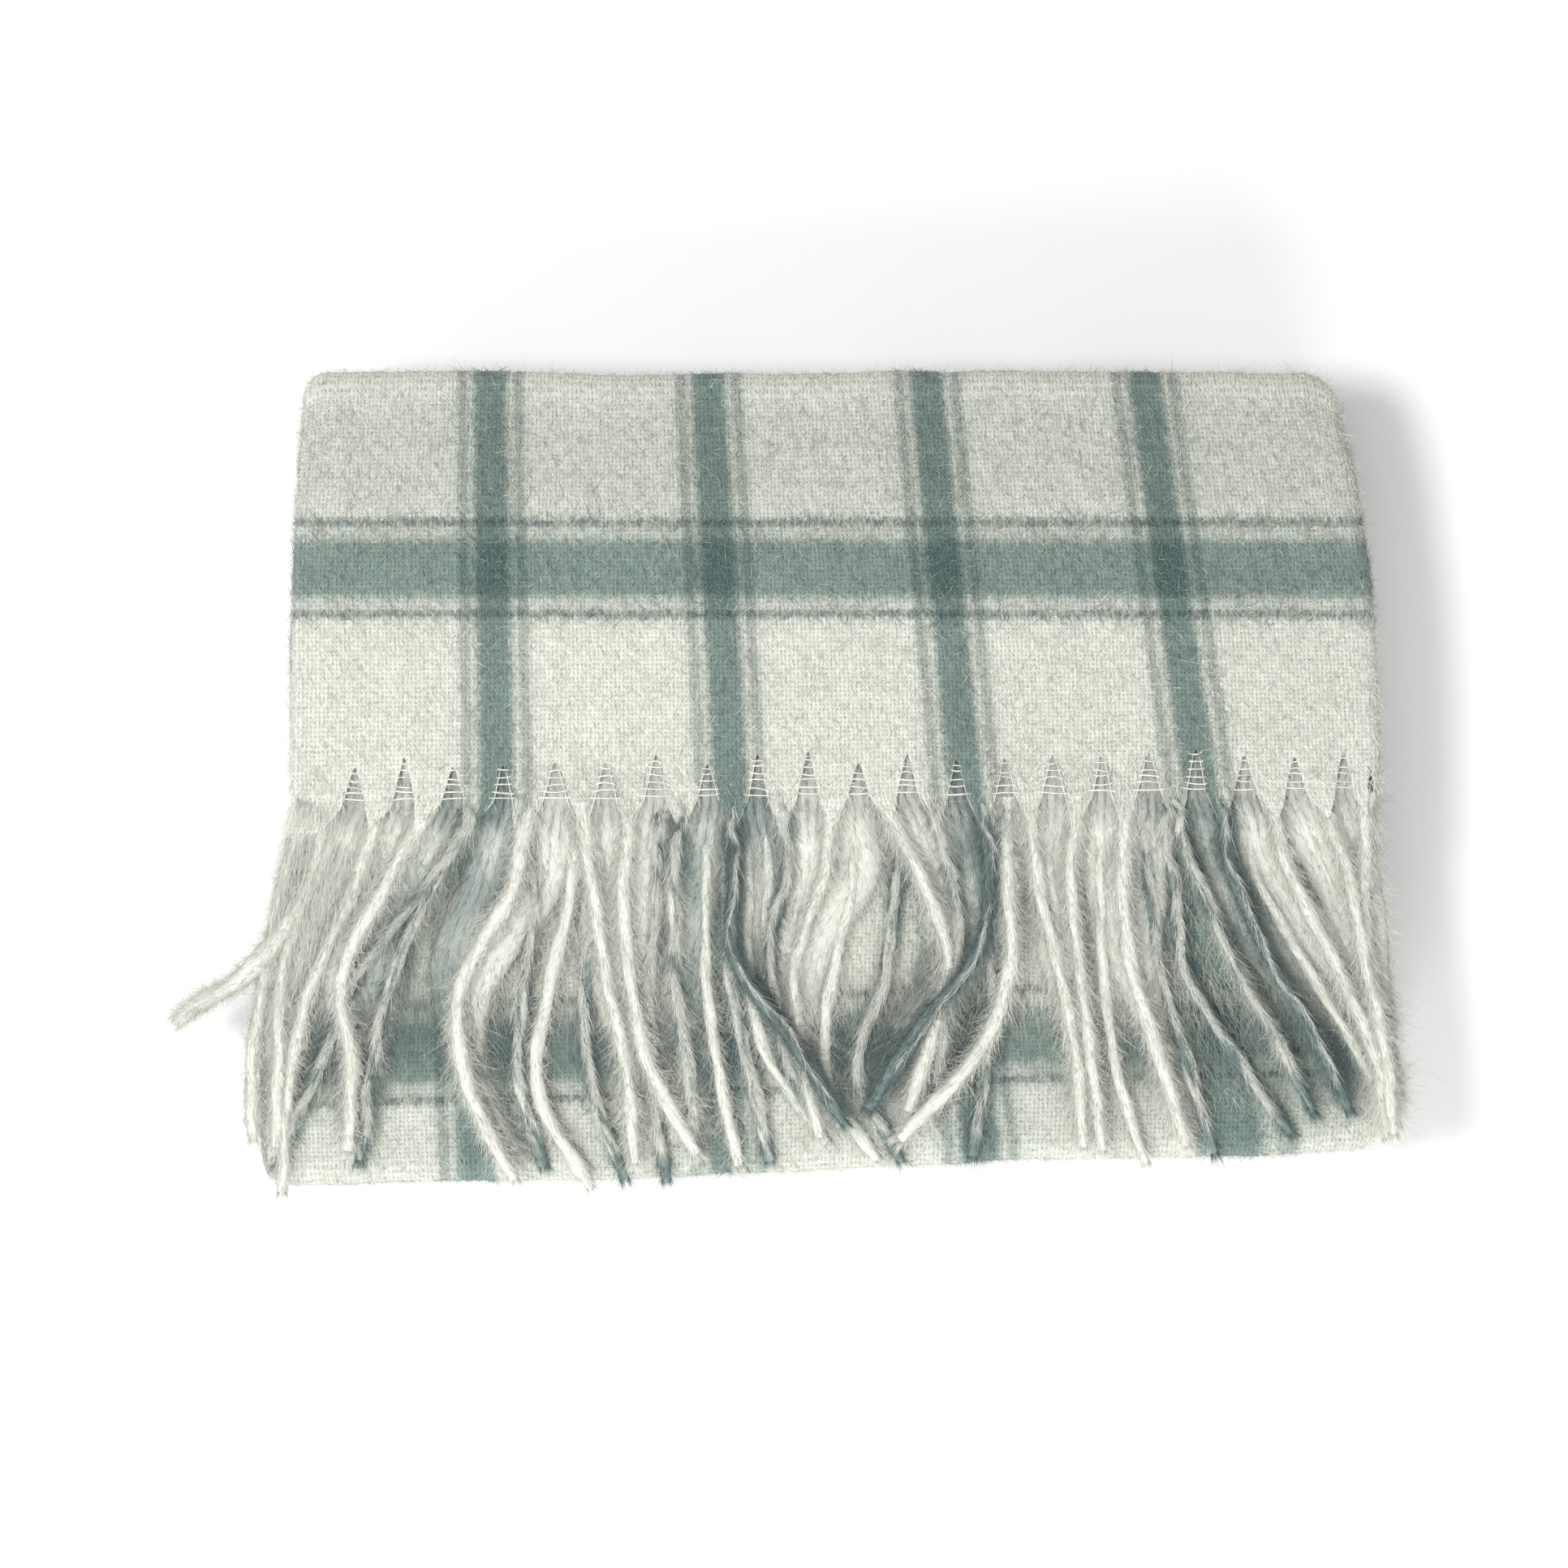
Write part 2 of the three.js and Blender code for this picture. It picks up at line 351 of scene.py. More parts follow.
# loose fibres from the palest cream to the darkest teal
FIBRES = [
    fibre_material("fibre_" + name, colour)
    for name, colour in (
        ("pale", (0.87, 0.875, 0.81)),
        ("cream", (0.79, 0.795, 0.72)),
        ("shaded_cream", (0.66, 0.67, 0.59)),
        ("mixed", (0.45, 0.485, 0.435)),
        ("light_teal", (0.285, 0.35, 0.33)),
        ("teal", (0.205, 0.27, 0.26)),
        ("dark_teal", (0.135, 0.195, 0.19)),
    )
]
FLOOR_CLEAR = 0.1
HIGHEST = 66.0  # no fibre stands above this
FIBRE_STEPS = np.array([0.0, 0.1, 0.24, 0.45, 0.66, 0.84, 1.0])  # how teal each one is

# ---- the folded strip

PANELS = 7
PITCH = 8.0  # of the panels, each four layers
LAYER = 2.0
CLOTH_HALF = 0.85  # half the cloth's thickness
HEM_Y = -6.0
HEM_TILT, HEM_SHIFT = 0.013, 0.2  # rise for each millimetre of X, and how far it all lies back
TURN_Y = 117.0  # where each panel starts to turn, 8 mm short of the fold's outermost line
MID_RADIUS = PITCH / 2
FRONT_SLANT = 12.0  # how much further back the front folds lie at their right end
FRONT_PROUD = 4.6  # how far the front folds bulge out
LEFT_CORNER, RIGHT_CORNER = 8.0, 12.0  # radius in plan
WAVE_EVERY = 246.0  # millimetres of strip from one fold's waves to the next's
TOP_PIVOT = 48.0  # height above which the flap is flattened towards the top fold
FLATTEN = 0.45  # how much of its thickness the flap loses towards the top fold
RUN = 2 * TURN_Y
TURN = math.pi * MID_RADIUS
FIRST_RUN = TURN_Y - HEM_Y

# the strip's edges: Y, X of the left one, X of the right one
OUTLINE = np.array([
    (-125, -178.0, 173.5),
    (-100, -179.0, 174.5),
    (-62, -178.0, 171.0),
    (-36, -173.0, 168.5),
    (-10, -168.0, 168.8),
    (25, -167.5, 168.0),
    (60, -167.0, 166.0),
    (95, -166.0, 161.0),
    (125, -164.5, 155.5),
])

starts = [0.0]
for panel in range(PANELS):
    starts.append(starts[-1] + (FIRST_RUN if panel in (0, PANELS - 1) else RUN))
    starts.append(starts[-1] + TURN)
STARTS = np.array(starts[:-1])
LENGTH = STARTS[-1]  # from hem to hem, along the strip's middle
TOP_TURN_END = STARTS[2]
FRONT_TURN_END = STARTS[4]
SEAM_FLAP = TOP_TURN_END + 77.0
SEAM_MIDDLE = FRONT_TURN_END + 77.0

side_wander = Field(3)
pack_wave = Field(5)
turn_wave = Field(6)


def middle(v):
    """The strip's middle line v from the flap's hem: y, z and its upper side's direction."""
    v = np.asarray(v, float)
    i = np.maximum(np.searchsorted(STARTS[:-1], v, "right") - 1, 0)
    s = v - STARTS[i]
    j = i // 2
    sign = np.where(j % 2 == 0, 1.0, -1.0)
    z = (PANELS - j) * PITCH - PITCH / 2
    begin = np.where(j == 0, HEM_Y, -TURN_Y * sign)
    angle = s / MID_RADIUS
    on_turn = i % 2 == 1
    y = np.where(on_turn, sign * (TURN_Y + MID_RADIUS * np.sin(angle)), begin + sign * s)
    z = np.where(on_turn, z - MID_RADIUS + MID_RADIUS * np.cos(angle), z)
    ny = np.where(on_turn, np.sin(angle), 0.0)
    nz = np.where(on_turn, sign * np.cos(angle), sign)
    return y, z, ny, nz


def outline(y):
    return [np.interp(y, OUTLINE[:, 0], OUTLINE[:, side]) for side in (1, 2)]


def edges(v, y):
    """X of the strip's left and right edges, which wander a little from layer to layer."""
    loose = 0.25 + 0.75 * smooth(v, 90, 230)
    rows = (1.5, 11.5)
    return [x + loose * 2.4 * side_wander(v / 70, row) for x, row in zip(outline(y), rows)]


# the strip's section, once round from one selvedge to the other
SELVEDGE_SHY = 7.0
SMALL_TURN = LAYER / 2
BIG_TURN = 1.5 * LAYER
PARTS = range(7)
B_RUN, LEFT_UP, A_RUN, RIGHT_TURN, D_RUN, LEFT_DOWN, C_RUN = PARTS


def section(part, f, left, right, v):
    """Where share f of a part of the section lies: x, offset from the middle, outward direction."""
    wander = 1.1 * side_wander(v / 38, 21.5)
    low = left + CLOTH_HALF + SMALL_TURN
    low_up, low_down = low + np.maximum(wander, 0), low + np.maximum(-wander, 0)
    high = right - CLOTH_HALF - BIG_TURN
    angle = f * math.pi
    cos, sin = np.cos(angle), np.sin(angle)
    zero = np.zeros_like(angle + v)
    selvedge = high + BIG_TURN - SELVEDGE_SHY
    choices = [
        (selvedge + f * (low_up - high + SELVEDGE_SHY - BIG_TURN), 1, 0, -1),
        (low_up - SMALL_TURN * sin, 2 - cos, -sin, -cos),
        (low_up + f * (high - low_up), 3, 0, 1),
        (high + BIG_TURN * sin, 3 * cos, sin, cos),
        (high + f * (low_down - high), -3, 0, -1),
        (low_down - SMALL_TURN * sin, -2 - cos, -sin, -cos),
        (low_down + f * (selvedge - low_down), -1, 0, 1),
    ]
    is_part = [part == n for n in PARTS]
    out = [np.select(is_part, [choice[n] + zero for choice in choices]) for n in range(4)]
    out[1] = out[1] * LAYER / 2
    return out


# the flap's stripes at the top fold: X of the first, and from one to the next
FIRST_STRIPE, STRIPES_APART = -106.5, 67.3
BACK = 125  # Y of the top fold


def stripes(part, f, x, y, left, right, v):
    """Counts stripes across the cloth: whole numbers at the middle of each."""
    on_flap = 1 - smooth(v, STARTS[1], TOP_TURN_END)
    first, pitch = FIRST_STRIPE + 0.02 * (BACK - y), STRIPES_APART + 0.0376 * (BACK - y)
    under, under_pitch = 80 + 0.18 * (BACK - y), STRIPES_APART + 0.045 * (BACK - y)
    # the plaid is stretched at both side edges of the flap
    pulled = lambda at: 0.7 * np.maximum(at - 135, 0) - 0.8 * np.maximum(-148 - at, 0)
    over = lambda at: (at - first - pulled(at)) / pitch
    below = lambda at: 4 - (at - under - 0.42 * np.maximum(at - under, 0)) / under_pitch
    inner = lambda at: over(left) - 0.04 - (at - left) / pitch
    innermost = lambda at: below(left) + 0.04 + (at - left) / pitch
    blend = lambda a, b: a * (1 - f) + b * f
    late, early = f**3, 1 - (1 - f) ** 3
    round_right = late * on_flap + early * (1 - on_flap)
    choices = [
        inner(x),
        blend(inner(left), over(left)),
        over(x),
        over(right) * (1 - round_right) + below(right) * round_right,
        below(x),
        blend(below(left), innermost(left)),
        innermost(x),
    ]
    return np.select([part == n for n in PARTS], choices)


PART_LENGTH = np.array([318.0, 3, 321, 10, 321, 3, 318])  # of the section
PART_START = np.cumsum(PART_LENGTH) - PART_LENGTH
BAND_START = 69.75  # v of the first band


def cloth_point(part, f, v, out=0.0):
    """A point of the cloth moved outward, its outward direction, and its plaid and weave places."""
    part, f, v = np.broadcast_arrays(part, np.asarray(f, float), np.asarray(v, float))
    y, z, ny, nz = middle(v)
    left, right = edges(v, y)
    x, off, nx, nt = section(part, f, left, right, v)
    count = stripes(part, f, x, y, left, right, v)
    off = off + nt * out
    px, py, pz = x + nx * out, y + off * ny, z + off * nz
    # the corners of the pack are rounded in plan, and the front folds slant
    for radius, gap in ((LEFT_CORNER, px - left), (RIGHT_CORNER, right - px)):
        e = np.clip(gap, 0, radius)
        pull = radius - np.sqrt(np.maximum(radius**2 - (radius - e) ** 2, 0))
        py = py - np.sign(y) * pull * smooth(np.abs(y), 92, TURN_Y)
    fold = np.floor(v / WAVE_EVERY)
    wave = 1.2 * turn_wave(px / 60, fold + 0.5) + 0.5 * turn_wave(px / 17, fold + 0.5)
    py = py + wave * smooth(np.abs(y), 70, TURN_Y)
    # the deeper folds are tucked in unevenly
    tucked = 2.6 * np.clip(0.35 + turn_wave(px / 48, fold + 30.5), 0, 1) * smooth(v, 330, 480)
    py = py - np.sign(y) * tucked * smooth(np.abs(y), 70, TURN_Y)
    py = py - FRONT_PROUD * smooth(-y, 40, TURN_Y)
    py = py + FRONT_SLANT * smooth(px, -230, 190) * smooth(-y, 0, TURN_Y)
    px = px + np.maximum(-v, 0) * np.interp(px, ROOTS, ROOT_LEAN)
    hem = smooth(v, 45, 0)
    py = py + hem * (HEM_TILT * px - HEM_SHIFT + 0.9 * turn_wave(px / 40, 40.5))
    lift = 0.014 * pack_wave(px / 75, py / 75) + 0.007 * pack_wave(px / 21, py / 21)
    pz = pz * (1 + lift)
    flatter = 1 - FLATTEN * smooth(y, 45, 125)
    pz = np.where(pz > TOP_PIVOT, TOP_PIVOT + (pz - TOP_PIVOT) * flatter, pz)
    point = np.stack([px, py, pz], -1)
    normal = np.stack([nx + 0 * v, nt * ny, nt * nz], -1)
    band = (np.where(v < 0, 0.25 * v, v) - BAND_START) / BAND_PITCH
    plaid = np.stack([count, band, np.zeros_like(v)], -1)
    weave = np.stack([PART_START[part] + f * PART_LENGTH[part], v, np.zeros_like(v)], -1)
    return point, normal, plaid, weave


# ---- the fringe's places

# the outermost row: root X, how far the tassel has wandered at each quarter of its length, Y of its
# tip, how teal, kind, height
TOP_ROW = [
    (-155.7, (-7, -15, -16, -17), -115, 0.02, "plain", 53.0),
    (-140.0, (-9.5, -23, -29, -31), -129, 0.03, "plain", 52.0),
    (-125.0, (-14, -27, -24, -25.5), -116, 0.0, "bright", 54.6),
    (-110.0, (-15, -27, -33, -37), -119, 0.62, "mixed", 52.6),
    (-94.0, (-6, -21.5, -19, -5), -125, 0.0, "bright", 54.8),
    (-78.0, (3.5, 8, 14, 16), -120, 0.02, "plain", 53.2),
    (-63.0, (-2, 0, 6, 20.5), -117, 0.0, "bright", 54.2),
    (-47.0, (-2.5, -2, 1.5, 5), -116, 0.22, "mixed", 53.2),
    (-31.0, (0, 0.5, 18, 34), -107, 0.92, "teal", 56.4),
    (-16.0, (1.5, -4, -1, 5), -100, 0.45, "thin", 52.4),
    (0.0, (-3.5, -12, -10, -4.5), -112, 0.02, "plain", 52.8),
    (15.0, (11.5, 20, 15.5, 8), -104, 0.0, "bright", 53.4),
    (30.0, (6.5, 8.5, 4, 0.5), -104, 0.2, "thin", 52.6),
    (45.5, (2, -1, -20, -35), -103, 0.9, "teal", 55.6),
    (60.0, (3, 9.5, 15, 17), -115, 0.02, "plain", 53.0),
    (75.0, (-2, 1, 4.5, 8), -116, 0.02, "plain", 53.4),
    (90.0, (-1, 2, 10.5, 19), -114.5, 0.0, "bright", 54.2),
    (104.0, (7.5, 18, 31.5, 44), -104, 0.55, "thin", 53.8),
    (119.0, (3.5, 14, 28, 40), -103, 0.8, "teal", 54.6),
    (134.0, (7, 20, 31.5, 40), -108, 0.02, "plain", 53.4),
    (150.0, (9, 14, 20, 23), -111, 0.02, "plain", 54.0),
    (164.0, (0, 1, 4, 7), -112, 0.02, "plain", 53.0),
]
UNDER_ROW = [
    (-114.5, (-12.5, -34, -46, -58), -121, 0.8, "mixed", 51.0),
    (-92.0, (0, -4, -5.5, 2), -121, 0.55, "mixed", 51.2),
    (-80.5, (-1, -8, -11, 5), -127.5, 0.02, "bright", 52.2),
    (-73.0, (0, -4, -2, 8), -125, 0.5, "mixed", 51.0),
    (-54.0, (-1, -3, -2, 2), -125, 0.6, "mixed", 51.0),
    (-39.5, (0, 0, 4, 10), -121, 0.1, "plain", 51.2),
    (-33.0, (0, 1, 7, 13), -119.5, 0.25, "mixed", 51.0),
    (-26.5, (0, 0, 6, 24), -114, 0.02, "plain", 51.4),
    (-20.5, (0, 0, 14, 34), -119, 0.02, "plain", 51.2),
    (5.0, (1, -4.5, -8, -3), -109, 0.05, "plain", 51.0),
    (20.5, (-1, -5, -13, 0), -119, 0.7, "mixed", 51.0),
    (49.0, (0, 0, -2, -6), -118, 0.75, "mixed", 51.2),
    (66.0, (1, 5, 9, 11), -114, 0.02, "plain", 51.2),
    (82.5, (0, 1, 5, 14), -120, 0.05, "plain", 51.2),
    (95.0, (2, 6, 14, 23), -117, 0.7, "mixed", 51.0),
    (101.5, (3.5, 7, 21, 40), -111, 0.7, "mixed", 51.4),
    (126.0, (4.5, 18.5, 34, 48), -108, 0.05, "plain", 51.2),
]
RISEN_ROW = [
    (-163.0, (-7.5, -12.5, -17, -17), -112.5, 0.02, "plain", 52.0),
    (53.3, (0, 1, -9, -33), -112.5, 0.0, "bright", 54.6),
]
TOP_ROOT_Z, UNDER_ROOT_Z, DEEP_ROOT_Z = 54.3, 52.4, 53.3
ROOTS = np.array([t[0] for t in TOP_ROW])
ROOT_LEAN = np.array([t[1][0] for t in TOP_ROW]) / 30.0
GAPS = (ROOTS[1:] + ROOTS[:-1]) / 2

gap_rng = default_rng(12)
GAP_DEPTH = gap_rng.uniform(10.5, 14.5, len(GAPS))
GAP_HALF = gap_rng.uniform(2.4, 3.3, len(GAPS))  # half the width
CUT_ZONE = 18.0  # how much cloth is moved back to make a gap
TOOTH = 9.0  # how far the cloth runs on into each tassel


def notch(x):
    """How far the hem is cut back at x: above 0 between tassels, and below 0 where one begins."""
    d = np.abs(x[..., None] - GAPS) / GAP_HALF
    cut = (np.clip(1 - d, 0, 1) ** 0.8 * GAP_DEPTH).max(-1)
    beyond = (d - 1).min(-1) * 3.0 / 4.6
    return np.where(cut > 0, cut, -TOOTH * np.clip(beyond, 0, 1) ** 0.8)


# ---- the cloth


def columns(steps):
    """Part and share of each column, for so many steps in each part."""
    part, share = [], []
    for n, count in enumerate(steps):
        f = np.linspace(0, 1, count + 1)
        f = f if n == C_RUN else f[:-1]
        part.append(np.full(len(f), n))
        share.append(f)
    return np.concatenate(part), np.concatenate(share)


def row_lines(first, last, stops):
    """Rows from first to last; stops are (up to this v, step)."""
    out, at = [], first
    for end, step in stops:
        n = max(1, int(round((end - at) / step)))
        out += list(np.linspace(at, end, n + 1)[:-1])
        at = end
    return np.array(out + [last])


def cloth_piece(name, first, last, steps, stops, hem_at=None):
    """A closed sheet from v first to last. steps are in each part, stops as in row_lines."""
    part, share = columns(steps)
    rows = row_lines(first, last, stops)
    v = np.broadcast_to(rows[:, None], (len(rows), len(part))).copy()
    if hem_at is not None:
        x = cloth_point(part, share, np.zeros(len(part)))[0][:, 0]
        shift = np.select([part == A_RUN, part == B_RUN, part == D_RUN], [0.0, 4.0, -5.0], 7.0)
        depth = notch(x - shift) * np.where(part == A_RUN, 1.0, 0.8)
        if hem_at == "start":
            v = v + depth * np.clip(1 - v / CUT_ZONE, 0, 1)
        else:
            v = v - depth * np.clip(1 - (last - v) / CUT_ZONE, 0, 1)
    faces = [cloth_point(part[None], share[None], v, out) for out in (CLOTH_HALF, -CLOTH_HALF)]
    points, _, plaid, weave = (np.concatenate(pair).reshape(-1, 3) for pair in zip(*faces))
    n_rows, n_columns = v.shape
    count = v.size
    outer = grid_faces(n_rows, n_columns)
    inner = outer[:, ::-1] + count
    at = np.arange(count).reshape(v.shape)
    ring = np.concatenate([at[0], at[1:, -1], at[-1, -2::-1], at[-2:0:-1, 0]])
    after = np.roll(ring, -1)
    wall = np.stack([after, ring, ring + count, after + count], -1)
    o = mesh_object(name, points, [outer, inner, wall], [CLOTH], plaid=plaid, weave=weave)
    return o, np.concatenate([v.ravel(), v.ravel()])


def bend(o):
    """Bakes o's transform into its mesh."""
    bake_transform(o)


# ---- fibres


def unit(a):
    return a / np.maximum(np.linalg.norm(a, axis=-1, keepdims=True), 1e-9)


def fibre_object(name, root, direction, length, width, teal, spread, rng):
    """One object of closed three-sided fibres, each in the colour nearest to how teal it is."""
    up = np.where(np.abs(direction[:, 2:3]) > 0.8, [[1.0, 0, 0]], [[0, 0, 1.0]])
    a = np.cross(direction, up)
    a /= np.linalg.norm(a, axis=1, keepdims=True)
    b = np.cross(direction, a)
    corners = [(math.cos(t), math.sin(t)) for t in (0, 2.094, 4.189)]
    ring = [root + (a * c + b * s) * width[:, None] / 2 for c, s in corners]
    points = np.stack(ring + [root + direction * length[:, None]], 1).reshape(-1, 3)
    points[:, 2] = np.clip(points[:, 2], FLOOR_CLEAR, HIGHEST)
    faces = np.array([(0, 2, 1), (0, 1, 3), (1, 2, 3), (2, 0, 3)])
    faces = (faces[None] + 4 * np.arange(len(root))[:, None, None]).reshape(-1, 3)
    value = np.clip(teal + spread * rng.normal(0, 1, len(teal)), 0, 1)
    slots = np.abs(value[:, None] - FIBRE_STEPS).argmin(1)
    return mesh_object(name, points, [faces], FIBRES, slots=np.repeat(slots, 4))


def teal_share(plaid, rng):
    """How teal the plaid is there, as the cloth's material has it."""
    across = np.abs((plaid[:, 0] + 0.5) % 1 - 0.5) * STRIPE_PITCH + rng.normal(0, 0.8, len(plaid))
    down = np.abs((plaid[:, 1] + 0.5) % 1 - 0.5) * BAND_PITCH + rng.normal(0, 1.0, len(plaid))
    line = lambda distance, middle, half: np.exp(-(((distance - middle) / half) ** 2))
    stripe = 0.66 * (1 - smooth(across, *STRIPE_EDGE)) + 0.42 * line(across, 9.2, 1.4)
    band = 0.56 * (1 - smooth(down, *BAND_EDGE)) + 0.72 * line(down, BAND_LINE, 1.3)
    beyond = plaid[:, 1] % 1
    painted_shade = smooth(beyond, 0.03, 0.2) * (1 - smooth(beyond, 0.34, 0.47))
    # painted shade: where the ground is painted greyer, the nap is made more teal too
    ground = 0.16 * painted_shade + 0.14 * (down < 17)
    return 1 - (1 - stripe) * (1 - band) * (1 - ground)


def nap(name, patches, seed):
    """Fibres standing on the cloth's outer face. patches are (parts, v from, v to, how many)."""
    rng = default_rng(seed)
    part, share, v = [], [], []
    for parts, low, high, count in patches:
        weight = PART_LENGTH[list(parts)]
        part.append(rng.choice(list(parts), count, p=weight / weight.sum()))
        share.append(rng.uniform(0, 1, count))
        v.append(rng.uniform(low, high, count))
    part, share, v = (np.concatenate(a) for a in (part, share, v))
    point, normal, plaid, _ = cloth_point(part, share, v, CLOTH_HALF - 0.1)
    if v.min() < 16:
        keep = (v > notch(point[:, 0]) + 0.3) | ((part != A_RUN) & (v > 0))
        part, share, v = part[keep], share[keep], v[keep]
        point, normal, plaid = point[keep], normal[keep], plaid[keep]
    ahead = cloth_point(part, share, v + 0.5, CLOTH_HALF - 0.1)[0]
    along = unit(ahead - point)
    aside = unit(np.cross(normal, along))
    n = len(v)
    angle = rng.uniform(0, 2 * math.pi, n)
    angle = np.where(v < 2, math.pi + rng.normal(0, 0.35, n), angle)
    rise = rng.uniform(0.06, 0.45, n)
    flow = along * np.cos(angle)[:, None] + aside * (np.sin(angle) * 0.8)[:, None]
    direction = unit(unit(flow) + normal * rise[:, None])
    length = rng.gamma(3.5, 0.8, n) + 0.9
    width = rng.uniform(0.12, 0.26, n)
    teal = teal_share(plaid, rng)
    spread = 0.12 + 0.1 * teal
    o = fibre_object(name, point, direction, length, width, teal, spread, rng)
    return o, np.repeat(v, 4)


# ---- tassels


def spline(knots, n):
    """A smooth line through the knots, evenly spaced in the knots' own count."""
    knots = np.array(knots, float)
    p = np.concatenate([[2 * knots[0] - knots[1]], knots, [2 * knots[-1] - knots[-2]]])
    t = np.linspace(0, len(knots) - 1 - 1e-9, n)
    i = t.astype(int)
    f = (t - i)[:, None]
    a, b, c, d = p[i], p[i + 1], p[i + 2], p[i + 3]
    square, cube = 2 * a - 5 * b + 4 * c - d, 3 * b - a - 3 * c + d
    return 0.5 * (2 * b + (c - a) * f + square * f**2 + cube * f**3)


def frame_along(path):
    tangent = unit(np.gradient(path, axis=0))
    aside = unit(np.cross(tangent, [0, 0, 1.0]))
    return tangent, aside, np.cross(aside, tangent)


# radius, how far it is flattened, turns for each 100 mm, how much its plies show, how mixed its
# teal is
KINDS = {
    "plain": (1.8, 0.85, 2.4, 0.14, 0.03),
    "bright": (2.1, 0.86, 2.0, 0.12, 0.0),
    "mixed": (1.75, 0.84, 2.4, 0.14, 0.5),
    "teal": (1.7, 0.88, 2.6, 0.14, 0.15),
    "thin": (1.4, 0.90, 3.0, 0.14, 0.45),
    "matted": (7.0, 0.2, 0.3, 0.05, 0.14),
    "stray": (2.7, 0.80, 2.0, 0.12, 0.05),
    "pressed": (5.8, 0.26, 0.3, 0.05, 0.2),
}
# the strands on top of each kind of tassel: how teal, how many fibres, how wide a bundle
STRANDS = {
    "mixed": ((0.0, 3000, 0.55), (0.9, 450, 0.3)),
    "thin": ((0.0, 2400, 0.45), (0.9, 300, 0.25)),
    "teal": ((0.03, 700, 0.28), (0.95, 500, 0.4)),
}
RING_STEP = 1.6  # between a rope's rings
SIDES, FEW_SIDES = 16, 12
BRUSH_SHARE = 0.045  # of a tassel's fibres, how many make the brush at its tip
HAIR_WIDTH = (0.08, 0.18)


def tube_faces(rings, sides):
    """The faces round a tube, and those that close its ends."""
    last = (rings - 1) * sides + np.arange(sides)
    caps = [np.arange(sides)[None, :], last[None, ::-1]]
    return [grid_faces(rings, sides, closed=True)[:, ::-1]], caps


